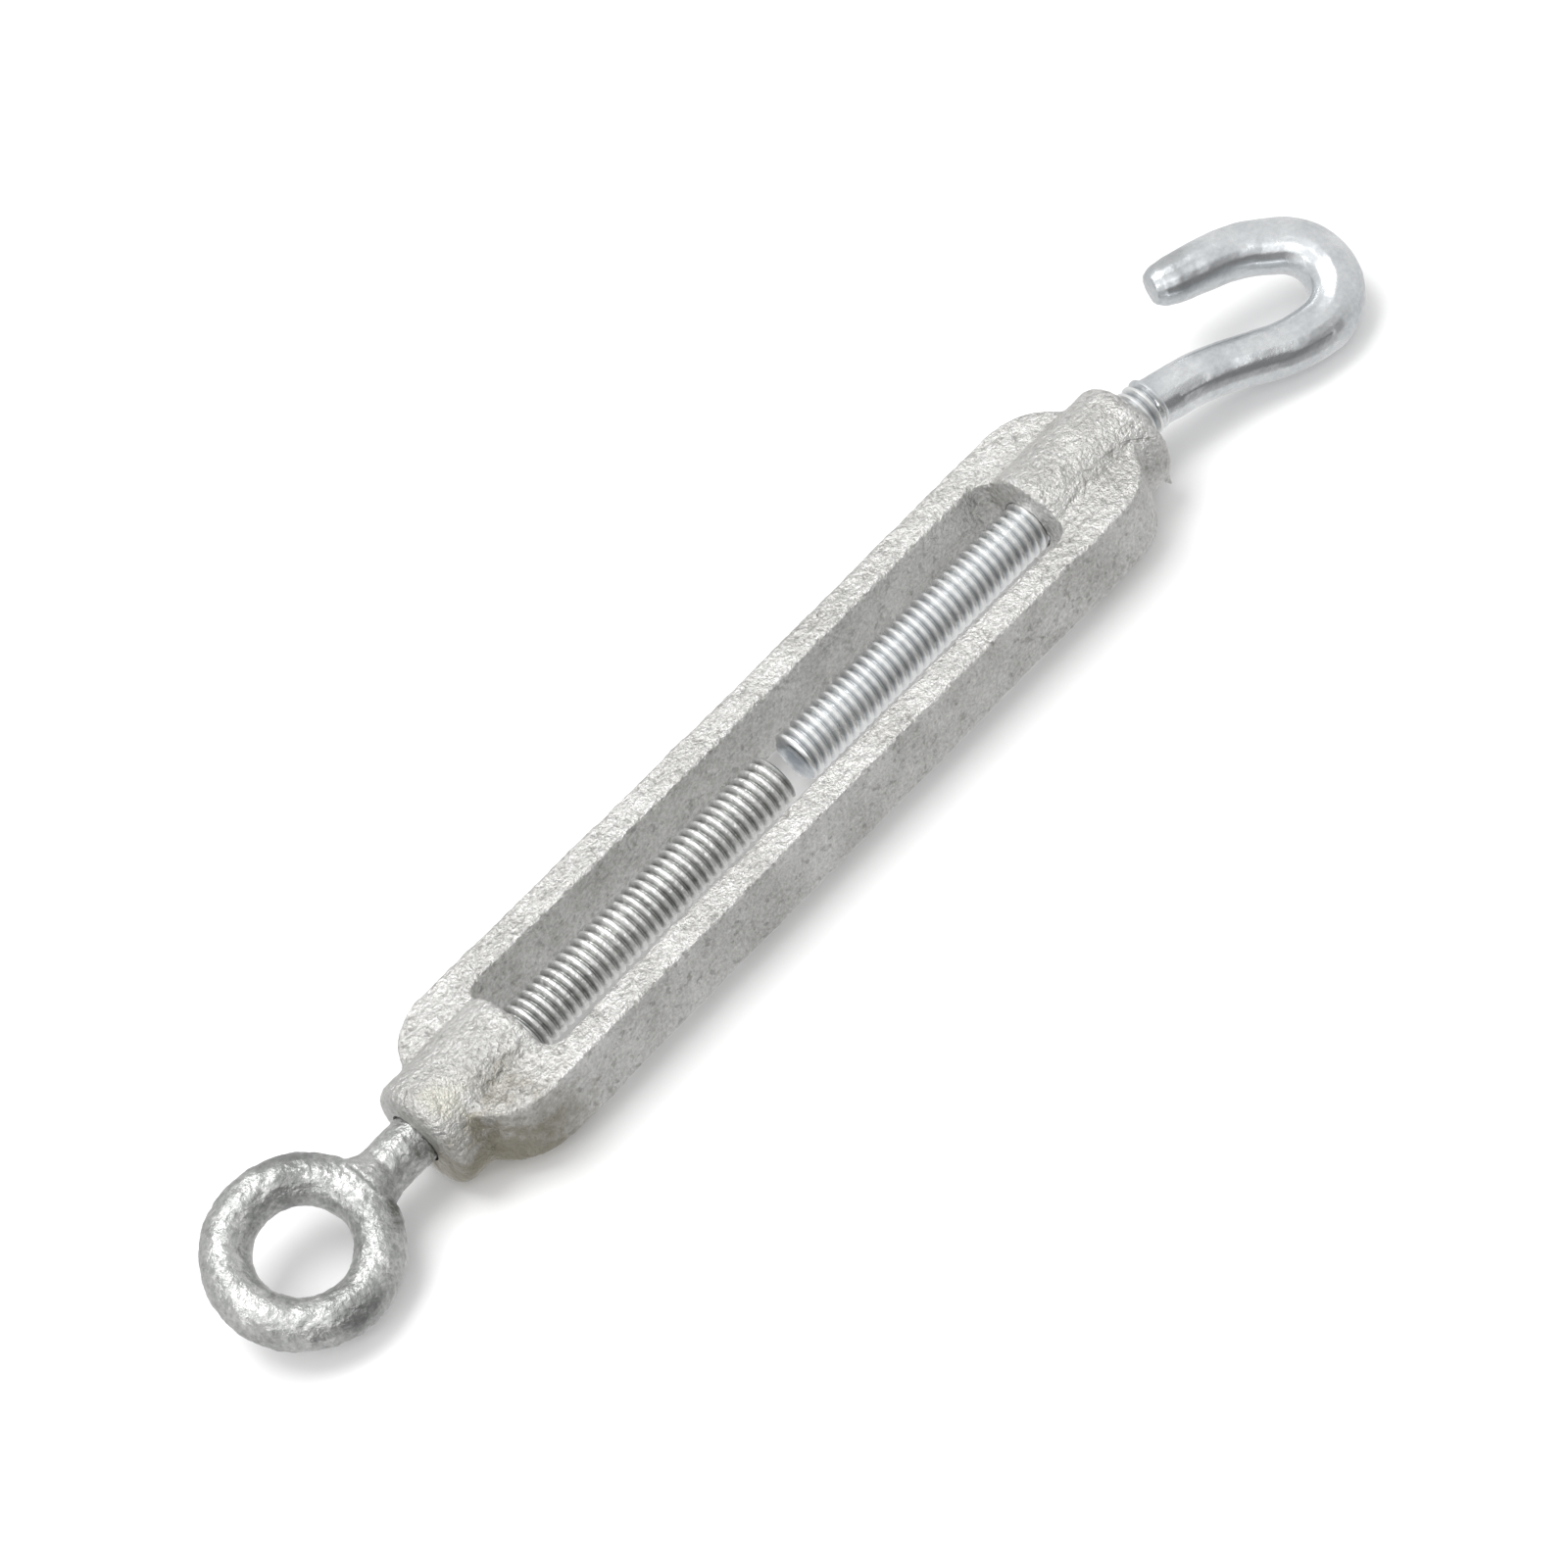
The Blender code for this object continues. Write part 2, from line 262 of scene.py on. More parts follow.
def makePits():
    pits = []
    top = castMiddle.z + castParts["barDepth"] / 2
    for x, y, radius in castFlaws["pits"]:
        height = radius * mm - castFlaws["pitDepth"]
        bpy.ops.mesh.primitive_ico_sphere_add(
            subdivisions=4, radius=radius * mm, location=(castMiddle.x + x * mm, castMiddle.y + y * mm, top + height)
        )
        pit = settle(named("pit"))
        lumps(pit, *castFlaws["pitLump"])
        pits.append(pit)
    return pits


def makeBurr():
    bpy.ops.mesh.primitive_cone_add(
        vertices=12,
        radius1=castFlaws["burrRadius"],
        radius2=castFlaws["burrTip"],
        depth=castFlaws["burrHeight"],
        location=castMiddle + Vector((castFlaws["burrX"], 0, 0)) + lowSide * castParts["bossRadius"],
        rotation=lowSide.to_track_quat("Z", "Y").to_euler(),
    )
    return settle(named("burr"))


def makeCast():
    block = roundedBlock(
        "castBody",
        castMiddle,
        castParts["frameLength"],
        castParts["frameWidth"],
        castParts["middleWidth"],
        castParts["barDepth"],
        castParts["cornerRadius"],
        castParts["cornerSegments"],
    )
    boss = turnedBar("boss", castMiddle, castParts["bossLength"], castParts["bossRadius"], castParts["bossEdge"])
    combine(block, boss, "UNION")
    print("bars and bosses done")
    slot = roundedBlock(
        "slot",
        castMiddle + Vector((castParts["slotShift"], 0, 0)),
        castParts["slotLength"],
        castParts["slotWidth"],
        castParts["slotMiddle"],
        castParts["slotCutter"],
        castParts["slotCorner"],
        castParts["slotSegments"],
    )
    combine(block, slot, "DIFFERENCE")
    modify(block, "REMESH", mode="VOXEL", voxel_size=castParts["voxel"])
    modify(block, "SMOOTH", factor=smoothShare, iterations=castParts["smoothing"])
    lumps(block, castParts["lumpSize"], castParts["lumpHeight"])
    lumps(block, castParts["grainSize"], castParts["grainHeight"])
    print("cast skin done")
    boreLength = castParts["bossLength"] + castParts["boreExtra"]
    bore = turnedBar("bore", axisPoint, boreLength, castParts["boreRadius"], 0)
    combine(block, joinAll([bore, makeCrease()] + makePits(), "cuts"), "DIFFERENCE")
    combine(block, makeBurr(), "UNION")
    print("cast body done", len(block.data.polygons))
    return block


thread = {
    "pitch": 25.4 / 18 * mm,
    "crest": 3.92 * mm,
    "root": 3.2 * mm,
    "crestFlat": 0.30,
    "rootFlat": 0.12,
    "easing": 0.05,
    "easingHeights": (0.12, 0.86, 0.97),
    "steps": 48,
    "tipChamfer": 0.9 * mm,
    "stockLength": 90.0 * mm,
    "stockPlay": 0.05 * mm,
}


def threadShape():
    depth = thread["crest"] - thread["root"]
    flank = 0.5 - thread["crestFlat"] / 2
    start = thread["rootFlat"] / 2
    ease = thread["easing"]
    low, high, top = thread["easingHeights"]
    half = [(start, 0.0), (start + ease, low), (flank - ease, high), (flank, top), (0.5, 1.0)]
    whole = half + [(1 - t, h) for t, h in reversed(half[:-1])] + [(1 + start, 0.0)]
    return [(t * thread["pitch"], thread["root"] + h * depth) for t, h in whole]


def threadedRod(name, xLow, xHigh, hand):
    lowTurn = math.floor(xLow / thread["pitch"]) - 2
    turns = math.ceil(xHigh / thread["pitch"]) + 2 - lowTurn
    shape = [Vector((x + lowTurn * thread["pitch"], 0, r)) for x, r in threadShape()]
    bpy.ops.mesh.primitive_plane_add(size=mm)
    rod = named(name)
    bpy.ops.object.mode_set(mode="EDIT")
    bpy.ops.mesh.select_mode(type="VERT")
    bpy.ops.mesh.select_all(action="SELECT")
    bpy.ops.mesh.merge(type="CENTER")
    bpy.ops.transform.translate(value=shape[0])
    for a, b in zip(shape, shape[1:]):
        bpy.ops.mesh.extrude_region_move(TRANSFORM_OT_translate={"value": b - a})
    closeEdit()
    modify(
        rod,
        "SCREW",
        axis="X",
        angle=hand * math.tau,
        screw_offset=thread["pitch"],
        steps=thread["steps"],
        render_steps=thread["steps"],
        iterations=turns,
    )
    bpy.ops.object.mode_set(mode="EDIT")
    bpy.ops.mesh.select_all(action="SELECT")
    bpy.ops.mesh.remove_doubles(threshold=weldGap)
    closeEdit()
    cutAt(rod, (xLow, 0, 0), (-1, 0, 0), True)
    cutAt(rod, (xHigh, 0, 0), (1, 0, 0), True)
    rod.location = axisPoint
    settle(rod)
    bpy.ops.object.mode_set(mode="EDIT")
    bpy.ops.mesh.select_all(action="SELECT")
    bpy.ops.mesh.normals_make_consistent(inside=False)
    closeEdit()
    return rod


def chamferTip(rod, tipX, side):
    length = thread["stockLength"]
    bpy.ops.mesh.primitive_cylinder_add(
        vertices=rodSides,
        radius=thread["crest"] + thread["stockPlay"],
        depth=length,
        location=axisPoint + Vector((tipX + side * length / 2, 0, 0)),
        rotation=(0, math.pi / 2, 0),
    )
    stock = settle(named("stock"))
    tip = axisPoint.x + tipX
    pickEdges(stock, lambda a, b: abs(a.x - tip) < near and abs(b.x - tip) < near)
    bpy.ops.mesh.bevel(offset=thread["tipChamfer"], segments=3, affect="EDGES")
    closeEdit()
    combine(rod, stock, "INTERSECT")


eye = {
    "tipX": -1.9 * mm,
    "threadEndX": -69.5 * mm,
    "centreX": -91.7 * mm,
    "ringRadius": 9.95 * mm,
    "wireRadius": 3.47 * mm,
    "neckRadius": 3.68 * mm,
    "flareRadius": 4.7 * mm,
    "flareLength": 3.2 * mm,
    "neckSink": 2.5 * mm,
    "neckOverlap": 0.3 * mm,
    "flareSink": 2.0 * mm,
    "turn": 19,
    "voxel": 0.24 * mm,
    "smoothing": 12,
    "lumpSize": 3.6 * mm,
    "lumpHeight": 0.36 * mm,
    "grainSize": 1.1 * mm,
    "grainHeight": 0.2 * mm,
}


def cone(name, xStart, xEnd, startRadius, endRadius):
    bpy.ops.mesh.primitive_cone_add(
        vertices=rodSides,
        radius1=startRadius,
        radius2=endRadius,
        depth=xEnd - xStart,
        location=axisPoint + Vector(((xStart + xEnd) / 2, 0, 0)),
        rotation=(0, math.pi / 2, 0),
    )
    return settle(named(name))


def makeEyeBolt():
    rod = threadedRod("eyeBolt", eye["threadEndX"], eye["tipX"], 1)
    chamferTip(rod, eye["tipX"], -1)
    bpy.ops.mesh.primitive_torus_add(
        major_radius=eye["ringRadius"],
        minor_radius=eye["wireRadius"],
        major_segments=96,
        minor_segments=36,
        location=axisPoint + Vector((eye["centreX"], 0, 0)),
        rotation=(math.radians(eye["turn"]), 0, 0),
    )
    ring = settle(named("ring"))
    rim = eye["centreX"] + eye["ringRadius"] + eye["wireRadius"]
    neckEnd = eye["threadEndX"] + eye["neckOverlap"]
    neck = cone("neck", rim - eye["neckSink"], neckEnd, eye["neckRadius"], eye["neckRadius"])
    flareStart = rim - eye["flareSink"]
    flare = cone("flare", flareStart, flareStart + eye["flareLength"], eye["flareRadius"], eye["neckRadius"])
    forging = joinAll([ring, neck, flare], "forging")
    modify(forging, "REMESH", mode="VOXEL", voxel_size=eye["voxel"])
    modify(forging, "SMOOTH", factor=smoothShare, iterations=eye["smoothing"])
    lumps(forging, eye["lumpSize"], eye["lumpHeight"])
    lumps(forging, eye["grainSize"], eye["grainHeight"])
    print("eye forging done", len(forging.data.polygons))
    combine(rod, forging, "UNION")
    print("eye bolt done", len(rod.data.polygons))
    return rod


hook = {
    "tipX": 1.5 * mm,
    "threadEndX": 74.8 * mm,
    "turn": 24,
    # x, y and radius of the wire in millimetres, before the turn about the axis
    "shank": [(73.6, 0.0, 3.6), (76.8, -0.9, 3.62), (82.0, -2.4, 3.7), (88.3, -5.4, 3.75), (93.8, -8.2, 3.85)],
    "bendCentre": (99.9, -2.35),
    "bendRadius": 7.2,
    "bendArc": (-102, 54),
    "bendWire": 4.0,
    "bendSwell": 0.12,
    "bendSteps": 8,
    "point": [(99.4, 6.9, 3.9), (94.8, 8.75, 3.75), (90.6, 10.2, 3.45), (88.6, 10.95, 3.05), (87.4, 11.4, 2.3)],
    "flashPoints": (1, 6),
    "flashDown": 0.46,
    "flashUp": 0.89,
    "flashSink": 0.25,
    "flashWire": 0.42,
    "voxel": 0.22 * mm,
    "smoothing": 6,
    "lumpSize": 6.0 * mm,
    "lumpHeight": 0.22 * mm,
}


def hookLine():
    start, end = hook["bendArc"]
    bend = []
    for i in range(hook["bendSteps"] + 1):
        angle = math.radians(start + (end - start) * i / hook["bendSteps"])
        x = hook["bendCentre"][0] + hook["bendRadius"] * math.cos(angle)
        y = hook["bendCentre"][1] + hook["bendRadius"] * math.sin(angle)
        bend.append((x, y, hook["bendWire"] + hook["bendSwell"] * math.sin(math.pi * i / hook["bendSteps"])))
    return hook["shank"] + bend + hook["point"]


def makeHookWire():
    turn = math.radians(hook["turn"])
    line = hookLine()
    places = [axisPoint + Vector((x, y * math.cos(turn), y * math.sin(turn))) * mm for x, y, radius in line]
    wire = wireAlong("hookWire", places, [radius for x, y, radius in line])
    side = lowSide * hook["flashDown"] + highSide * hook["flashUp"]
    first, last = hook["flashPoints"]
    way = [place + side * (item[2] - hook["flashSink"]) * mm for place, item in zip(places, line)][first:last]
    flash = wireAlong("flash", way, [hook["flashWire"]] * len(way))
    wire = joinAll([wire, flash], "hookWire")
    modify(wire, "REMESH", mode="VOXEL", voxel_size=hook["voxel"])
    modify(wire, "SMOOTH", factor=smoothShare, iterations=hook["smoothing"])
    lumps(wire, hook["lumpSize"], hook["lumpHeight"])
    print("hook wire done", len(wire.data.polygons))
    return wire


def makeHookBolt():
    rod = threadedRod("hookBolt", hook["tipX"], hook["threadEndX"], -1)
    chamferTip(rod, hook["tipX"], 1)
    combine(rod, makeHookWire(), "UNION")
    print("hook bolt done", len(rod.data.polygons))
    return rod


zincLook = {
    "cloud": (5.0, 0.62),
    "grain": (3.0, 0.7),
    "coarse": (3.0, 0.6),
    "coarseShare": 0.45,
    "cloudSpan": (0.32, 0.68),
    "grainSpan": (0.36, 0.66),
    "poreSpan": (0.42, 0.34),
    "roughSpan": (0.58, 0.42),
    "coarseHeight": 0.7,
    "grainHeight": 0.3,
    "patchSpan": (1.0, 0.35),
    "patchNoise": (4.0, 0.65),
}


def newGroup(name, inputs, outputs):
    group = bpy.data.node_groups.new(name, "ShaderNodeTree")
    for label, kind, value in inputs:
        socket = group.interface.new_socket(name=label, in_out="INPUT", socket_type=kind)
        socket.default_value = value
    for label, kind in outputs:
        group.interface.new_socket(name=label, in_out="OUTPUT", socket_type=kind)
    return group, group.nodes.new("NodeGroupInput"), group.nodes.new("NodeGroupOutput")


def addNode(tree, kind, **settings):
    node = tree.nodes.new(kind)
    for name, value in settings.items():
        setattr(node, name, value)
    return node


def noise(tree, vector, scale, detail, rough):
    node = addNode(tree, "ShaderNodeTexNoise")
    node.inputs["Detail"].default_value = detail
    node.inputs["Roughness"].default_value = rough
    tree.links.new(vector, node.inputs["Vector"])
    tree.links.new(scale, node.inputs["Scale"])
    return node.outputs["Fac"]


def mathNode(tree, operation, first, second):
    node = addNode(tree, "ShaderNodeMath", operation=operation)
    for socket, value in zip(node.inputs, (first, second)):
        if isinstance(value, (int, float)):
            socket.default_value = value
        else:
            tree.links.new(value, socket)
    return node.outputs[0]


def ramp(tree, value, low, high, outLow=0.0, outHigh=1.0):
    node = addNode(tree, "ShaderNodeMapRange")
    tree.links.new(value, node.inputs["Value"])
    for label, number in (("From Min", low), ("From Max", high), ("To Min", outLow), ("To Max", outHigh)):
        node.inputs[label].default_value = number
    return node.outputs["Result"]


def mixColour(tree, factor, first, second):
    node = addNode(tree, "ShaderNodeMix", data_type="RGBA")
    for label, value in ((0, factor), (6, first), (7, second)):
        if isinstance(value, bpy.types.NodeSocket):
            tree.links.new(value, node.inputs[label])
        else:
            node.inputs[label].default_value = value
    return node.outputs[2]


def zincGroup():
    # mottled zinc: cloudy tone, fine sparkle grain and dark pores
    tree, into, out = newGroup(
        "zincSkin",
        [
            ("Vector", "NodeSocketVector", (0, 0, 0)),
            ("Light", "NodeSocketColor", (0.7, 0.7, 0.7, 1)),
            ("Dark", "NodeSocketColor", (0.3, 0.3, 0.3, 1)),
            ("Pore Color", "NodeSocketColor", (0.1, 0.1, 0.1, 1)),
            ("Cloud Scale", "NodeSocketFloat", 200.0),
            ("Grain Scale", "NodeSocketFloat", 1500.0),
            ("Grain", "NodeSocketFloat", 0.5),
            ("Pores", "NodeSocketFloat", 0.5),
            ("Smooth", "NodeSocketFloat", 0.0),
        ],
        [("Color", "NodeSocketColor"), ("Roughness", "NodeSocketFloat"), ("Height", "NodeSocketFloat")],
    )
    place = into.outputs["Vector"]
    cloud = noise(tree, place, into.outputs["Cloud Scale"], *zincLook["cloud"])
    grain = noise(tree, place, into.outputs["Grain Scale"], *zincLook["grain"])
    coarseScale = mathNode(tree, "MULTIPLY", into.outputs["Grain Scale"], zincLook["coarseShare"])
    coarse = noise(tree, place, coarseScale, *zincLook["coarse"])
    tone = ramp(tree, cloud, *zincLook["cloudSpan"])
    sparkle = mathNode(tree, "MULTIPLY", ramp(tree, grain, *zincLook["grainSpan"]), into.outputs["Grain"])
    keep = mathNode(tree, "MULTIPLY", tone, mathNode(tree, "SUBTRACT", 1.0, into.outputs["Grain"]))
    level = mathNode(tree, "ADD", keep, sparkle)
    colour = mixColour(tree, level, into.outputs["Dark"], into.outputs["Light"])
    pore = mathNode(tree, "MULTIPLY", ramp(tree, coarse, *zincLook["poreSpan"]), into.outputs["Pores"])
    shade = mixColour(tree, pore, colour, into.outputs["Pore Color"])
    rough = mathNode(tree, "SUBTRACT", ramp(tree, level, 0.0, 1.0, *zincLook["roughSpan"]), into.outputs["Smooth"])
    dents = mathNode(tree, "MULTIPLY", coarse, zincLook["coarseHeight"])
    height = mathNode(tree, "ADD", dents, mathNode(tree, "MULTIPLY", grain, zincLook["grainHeight"]))
    tree.links.new(shade, out.inputs["Color"])
    tree.links.new(rough, out.inputs["Roughness"])
    tree.links.new(height, out.inputs["Height"])
    return tree


def patchGroup():
    # ragged round patch about one place
    tree, into, out = newGroup(
        "patchMask",
        [
            ("Vector", "NodeSocketVector", (0, 0, 0)),
            ("Middle", "NodeSocketVector", (0, 0, 0)),
            ("Reach", "NodeSocketFloat", 0.01),
            ("Ragged", "NodeSocketFloat", 1.5),
            ("Ragged Scale", "NodeSocketFloat", 300.0),
        ],
        [("Mask", "NodeSocketFloat")],
    )
    away = addNode(tree, "ShaderNodeVectorMath", operation="DISTANCE")
    tree.links.new(into.outputs["Vector"], away.inputs[0])
    tree.links.new(into.outputs["Middle"], away.inputs[1])
    share = mathNode(tree, "DIVIDE", away.outputs["Value"], into.outputs["Reach"])
    cloud = noise(tree, into.outputs["Vector"], into.outputs["Ragged Scale"], *zincLook["patchNoise"])
    ragged = mathNode(tree, "MULTIPLY", mathNode(tree, "SUBTRACT", cloud, 0.5), into.outputs["Ragged"])
    edge = mathNode(tree, "ADD", share, ragged)
    tree.links.new(ramp(tree, edge, *zincLook["patchSpan"]), out.inputs["Mask"])
    return tree


# painted shade darkens the thread roots and a painted highlight lightens the thread crests
threadPaintedLight = {
    "paintedRootShade": (0.15, 0.15, 0.15, 1),
    "paintedRootShadeAmount": 0.14,
    "paintedCrestHighlight": (0.93, 0.93, 0.92, 1),
    "paintedCrestHighlightAmount": 0.6,
    "blend": 0.1 * mm,
    "tipGap": 0.2 * mm,
}


def rootGroup():
    # masks for painted shade in the bottoms of the threads and painted highlight on their tops, between two places
    # along the axis
    tree, into, out = newGroup(
        "threadRoots",
        [
            ("Vector", "NodeSocketVector", (0, 0, 0)),
            ("Axis", "NodeSocketVector", (0, 0, 0)),
            ("Start", "NodeSocketFloat", 0.0),
            ("End", "NodeSocketFloat", 0.07),
        ],
        [("Root", "NodeSocketFloat"), ("Crest", "NodeSocketFloat")],
    )
    away = addNode(tree, "ShaderNodeVectorMath", operation="SUBTRACT")
    tree.links.new(into.outputs["Vector"], away.inputs[0])
    tree.links.new(into.outputs["Axis"], away.inputs[1])
    parts = addNode(tree, "ShaderNodeSeparateXYZ")
    tree.links.new(away.outputs["Vector"], parts.inputs["Vector"])
    across = addNode(tree, "ShaderNodeCombineXYZ")
    tree.links.new(parts.outputs["Y"], across.inputs["Y"])
    tree.links.new(parts.outputs["Z"], across.inputs["Z"])
    radius = addNode(tree, "ShaderNodeVectorMath", operation="LENGTH")
    tree.links.new(across.outputs["Vector"], radius.inputs[0])
    highest = thread["crest"] - threadPaintedLight["blend"]
    deep = ramp(tree, radius.outputs["Value"], highest, thread["root"] + threadPaintedLight["blend"])
    after = mathNode(tree, "GREATER_THAN", parts.outputs["X"], into.outputs["Start"])
    before = mathNode(tree, "LESS_THAN", parts.outputs["X"], into.outputs["End"])
    inside = mathNode(tree, "MULTIPLY", after, before)
    high = mathNode(tree, "SUBTRACT", 1.0, deep)
    tree.links.new(mathNode(tree, "MULTIPLY", deep, inside), out.inputs["Root"])
    tree.links.new(mathNode(tree, "MULTIPLY", high, inside), out.inputs["Crest"])
    return tree


def addThread(tree, place, colour, start, end):
    layer = addNode(tree, "ShaderNodeGroup", node_tree=threadRoots)
    tree.links.new(place, layer.inputs["Vector"])
    layer.inputs["Axis"].default_value = axisPoint
    layer.inputs["Start"].default_value = start
    layer.inputs["End"].default_value = end
    # painted shade in the thread roots, painted highlight on the thread crests
    paintedRootShade = mathNode(tree, "MULTIPLY", layer.outputs["Root"], threadPaintedLight["paintedRootShadeAmount"])
    paintedCrestHighlight = mathNode(tree, "MULTIPLY", layer.outputs["Crest"], threadPaintedLight["paintedCrestHighlightAmount"])
    return mixColour(tree, paintedCrestHighlight, mixColour(tree, paintedRootShade, colour, threadPaintedLight["paintedRootShade"]), threadPaintedLight["paintedCrestHighlight"])


def addPatch(tree, place, colour, middle, reach, tint, amount):
    patch = addNode(tree, "ShaderNodeGroup", node_tree=patchMask)
    tree.links.new(place, patch.inputs["Vector"])
    patch.inputs["Middle"].default_value = middle
    patch.inputs["Reach"].default_value = reach
    return mixColour(tree, mathNode(tree, "MULTIPLY", patch.outputs["Mask"], amount), colour, tint)


def newFinish(name, look):
    material = bpy.data.materials.new(name)
    material.use_nodes = True
    tree = material.node_tree
    shader = tree.nodes["Principled BSDF"]
    shader.inputs["Metallic"].default_value = look["metallic"]
    place = addNode(tree, "ShaderNodeTexCoord").outputs["Object"]
    layer = addNode(tree, "ShaderNodeGroup", node_tree=zincSkin)
    tree.links.new(place, layer.inputs["Vector"])
    for label, value in look["skin"].items():
        layer.inputs[label].default_value = value
    bump = addNode(tree, "ShaderNodeBump")
    bump.inputs["Strength"].default_value = look["bumpStrength"]
    bump.inputs["Distance"].default_value = look["bumpDistance"]
    tree.links.new(layer.outputs["Height"], bump.inputs["Height"])
    colour = layer.outputs["Color"]
    for middle, reach, tint, amount in look["patches"]:
        colour = addPatch(tree, place, colour, middle, reach, tint, amount)
    if "threadSpan" in look:
        colour = addThread(tree, place, colour, *look["threadSpan"])
    tree.links.new(colour, shader.inputs["Base Color"])
    tree.links.new(layer.outputs["Roughness"], shader.inputs["Roughness"])
    tree.links.new(bump.outputs["Normal"], shader.inputs["Normal"])
    return material


def dress(piece, material):
    piece.data.materials.clear()
    piece.data.materials.append(material)
    makeActive(piece)
    bpy.ops.object.shade_smooth_by_angle(angle=smoothAngle)


studio = {
    "floorSize": 6.0,
    "floorDrop": 0.3 * mm,
    "floorTone": (0.93, 0.93, 0.93, 1),
    "floorRoughness": 0.9,
    "cameraAzimuth": -27.84,
    "cameraElevation": 48.33,
    "cameraRoll": 23.56,
    "cameraDistance": 0.7385,
    "target": (-4.87 * mm, -0.63 * mm, 7.74 * mm),
    "lens": 128.08,
    "sensor": 36,
    "clipStart": 0.01,
    "worldStrength": 0.86,
    "darkStrength": 0.2,
    "darkSide": (-0.15, -0.98, 0.12),
    "darkEdge": (0.62, 0.95),
    "lamps": [
        ("overhead", (-0.12, 0.30, 1.15), 0.7, 7.5),
        ("front", (-0.3, -0.75, 0.8), 0.8, 2.6),
        ("side", (-0.9, -0.1, 0.7), 0.3, 1.2),
    ],
}


def makeFloor():
    bpy.ops.mesh.primitive_plane_add(size=studio["floorSize"], location=(0, 0, -studio["floorDrop"]))
    floor = named("floor")
    paint = bpy.data.materials.new("paleFloor")
    paint.use_nodes = True
    shader = paint.node_tree.nodes["Principled BSDF"]
    shader.inputs["Base Color"].default_value = studio["floorTone"]
    shader.inputs["Roughness"].default_value = studio["floorRoughness"]
    floor.data.materials.append(paint)
    floor.visible_diffuse = False  # keeps the undersides from being lit as brightly as the tops
    floor.visible_glossy = False  # keeps the metal reflecting the room rather than the floor


def areaLight(name, place, size, power):
    data = bpy.data.lights.new(name, "AREA")
    data.shape = "SQUARE"
    data.size = size
    data.energy = power
    lamp = bpy.data.objects.new(name, data)
    bpy.context.scene.collection.objects.link(lamp)
    lamp.location = place
    lamp.rotation_euler = (-Vector(place)).to_track_quat("-Z", "Y").to_euler()


def makeLight():
    world = bpy.data.worlds.new("studio")
    bpy.context.scene.world = world
    world.use_nodes = True
    tree = world.node_tree
    look = addNode(tree, "ShaderNodeVectorMath", operation="DOT_PRODUCT")
    tree.links.new(addNode(tree, "ShaderNodeTexCoord").outputs["Generated"], look.inputs[0])
    look.inputs[1].default_value = studio["darkSide"]
    glow = ramp(tree, look.outputs["Value"], *studio["darkEdge"], studio["worldStrength"], studio["darkStrength"])
    tree.links.new(glow, tree.nodes["Background"].inputs["Strength"])
    tree.nodes["Background"].inputs["Color"].default_value = (1, 1, 1, 1)
    for name, place, size, power in studio["lamps"]:
        areaLight(name, place, size, power)
    bpy.context.scene.view_settings.view_transform = "Standard"


def makeCamera():
    azimuth = math.radians(studio["cameraAzimuth"])
    elevation = math.radians(studio["cameraElevation"])
    back = Vector(
        (math.sin(azimuth) * math.cos(elevation), -math.cos(azimuth) * math.cos(elevation), math.sin(elevation))
    )
    data = bpy.data.cameras.new("camera")
    data.lens = studio["lens"]
    data.sensor_width = studio["sensor"]
    data.clip_start = studio["clipStart"]
    camera = bpy.data.objects.new("camera", data)
    bpy.context.scene.collection.objects.link(camera)
    aim = (-back).to_track_quat("-Z", "Y")
    roll = Quaternion(back, -math.radians(studio["cameraRoll"]))
    camera.matrix_world = Matrix.Translation(Vector(studio["target"]) + back * studio["cameraDistance"]) @ (
        roll @ aim
    ).to_matrix().to_4x4()
    bpy.context.scene.camera = camera


makeCamera()
makeLight()
makeFloor()
print("studio done")
castBody = makeCast()
eyeBolt = makeEyeBolt()
hookBolt = makeHookBolt()

zincSkin = zincGroup()
patchMask = patchGroup()
threadRoots = rootGroup()
# warm-tinted painted shade for the lower, down-facing parts of the casting
warmPaintedShade = (0.24, 0.22, 0.165, 1)
dullZinc = (0.40, 0.395, 0.38, 1)
paleYellow = (0.62, 0.60, 0.48, 1)
darkScale = (0.20, 0.205, 0.20, 1)
blueScale = (0.13, 0.17, 0.21, 1)
castLook = {
    "skin": {
        "Light": (0.81, 0.805, 0.79, 1),
        "Dark": (0.40, 0.395, 0.38, 1),
        "Pore Color": (0.14, 0.135, 0.125, 1),
        "Cloud Scale": 130.0,
        "Grain Scale": 1900.0,
        "Grain": 0.55,
        "Pores": 0.4,
        "Smooth": 0.14,
    },
    "metallic": 0.8,
    "bumpStrength": 1.0,
    "bumpDistance": 0.9 * mm,
    "patches": [
        (castMiddle + Vector((-66, -2.0, 6.0)) * mm, 13 * mm, dullZinc, 0.5),
        (castMiddle + Vector((60, -2.0, 6.0)) * mm, 13 * mm, dullZinc, 0.25),
        # painted shade: warm dark patches on the lower front of the left end
        (castMiddle + Vector((-61, -9.0, -3.5)) * mm, 12 * mm, warmPaintedShade, 0.85),
        (castMiddle + Vector((-68, -6.0, -4.0)) * mm, 10 * mm, warmPaintedShade, 0.85),
        (castMiddle + Vector((-66, -4.0, 7.5)) * mm, 4 * mm, paleYellow, 0.35),
        # painted shade on the lower far side of the right end
        (castMiddle + Vector((58, 9.0, -4.0)) * mm, 6 * mm, warmPaintedShade, 0.3),
    ],
}
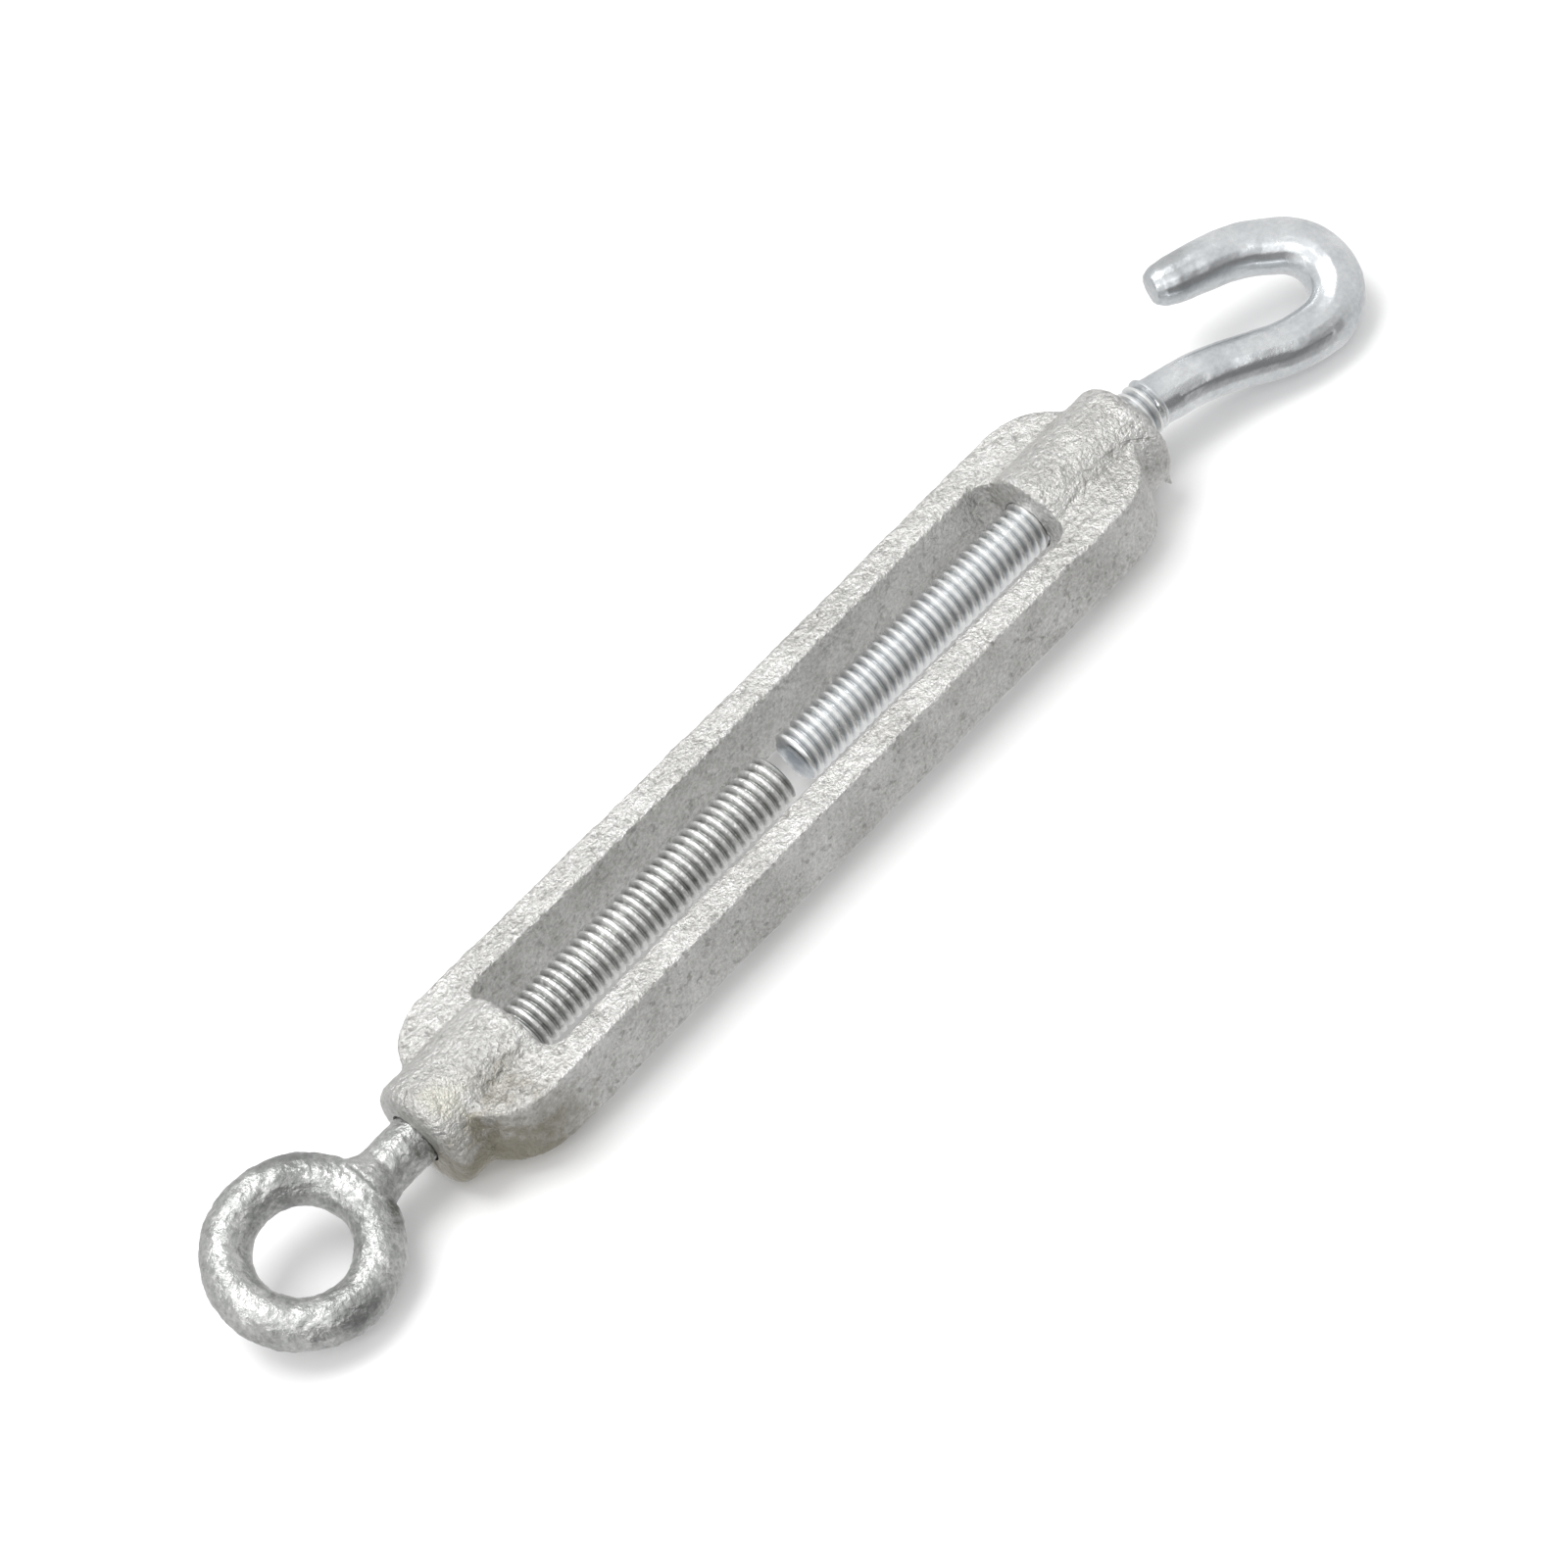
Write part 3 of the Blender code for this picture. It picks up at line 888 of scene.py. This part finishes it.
eyeLook = {
    "skin": {
        "Light": (0.63, 0.635, 0.62, 1),
        "Dark": (0.28, 0.29, 0.28, 1),
        "Pore Color": (0.13, 0.13, 0.125, 1),
        "Cloud Scale": 150.0,
        "Grain Scale": 1300.0,
        "Grain": 0.5,
        "Pores": 0.3,
        "Smooth": 0.12,
    },
    "metallic": 0.9,
    "bumpStrength": 1.0,
    "bumpDistance": 0.45 * mm,
    "patches": [
        (axisPoint + Vector((-85.0, 7.4, 4.0)) * mm, 5.5 * mm, darkScale, 0.85),
        (axisPoint + Vector((-81.0, -4.5, -2.5)) * mm, 5.5 * mm, darkScale, 0.85),
        (axisPoint + Vector((-0.9, 0.0, 0.0)) * mm, 3.9 * mm, darkScale, 0.6),
        (axisPoint + Vector((-93.0, -10.5, -1.0)) * mm, 5.0 * mm, darkScale, 0.6),
        (axisPoint + Vector((-98.5, 6.8, 0.0)) * mm, 3.5 * mm, darkScale, 0.4),
    ],
    "threadSpan": (eye["threadEndX"], eye["tipX"] - threadPaintedLight["tipGap"]),
}
hookLook = {
    "skin": {
        "Light": (0.82, 0.84, 0.85, 1),
        "Dark": (0.50, 0.52, 0.54, 1),
        "Pore Color": (0.25, 0.26, 0.28, 1),
        "Cloud Scale": 110.0,
        "Grain Scale": 1500.0,
        "Grain": 0.3,
        "Pores": 0.1,
        "Smooth": 0.2,
    },
    "metallic": 1.0,
    "bumpStrength": 0.35,
    "bumpDistance": 0.15 * mm,
    "patches": [
        (axisPoint + Vector((91.0, 9.5, 6.0)) * mm, 4.5 * mm, darkScale, 0.35),
        (axisPoint + Vector((0.6, 0.0, 0.0)) * mm, 3.9 * mm, blueScale, 0.85),
    ],
    "threadSpan": (hook["tipX"] + threadPaintedLight["tipGap"], hook["shank"][0][0] * mm),
}
castZinc = newFinish("castZinc", castLook)
forgedZinc = newFinish("forgedZinc", eyeLook)
brightZinc = newFinish("brightZinc", hookLook)

dress(castBody, castZinc)
dress(eyeBolt, forgedZinc)
dress(hookBolt, brightZinc)
print("materials done")

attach(castBody, "body")
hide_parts("turnbuckle_body")
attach(eyeBolt, "eye_bolt")
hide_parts("eye_bolt", "eye_bolt_core")
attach(hookBolt, "hook_bolt")
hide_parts("hook_bolt", "hook_bolt_core")
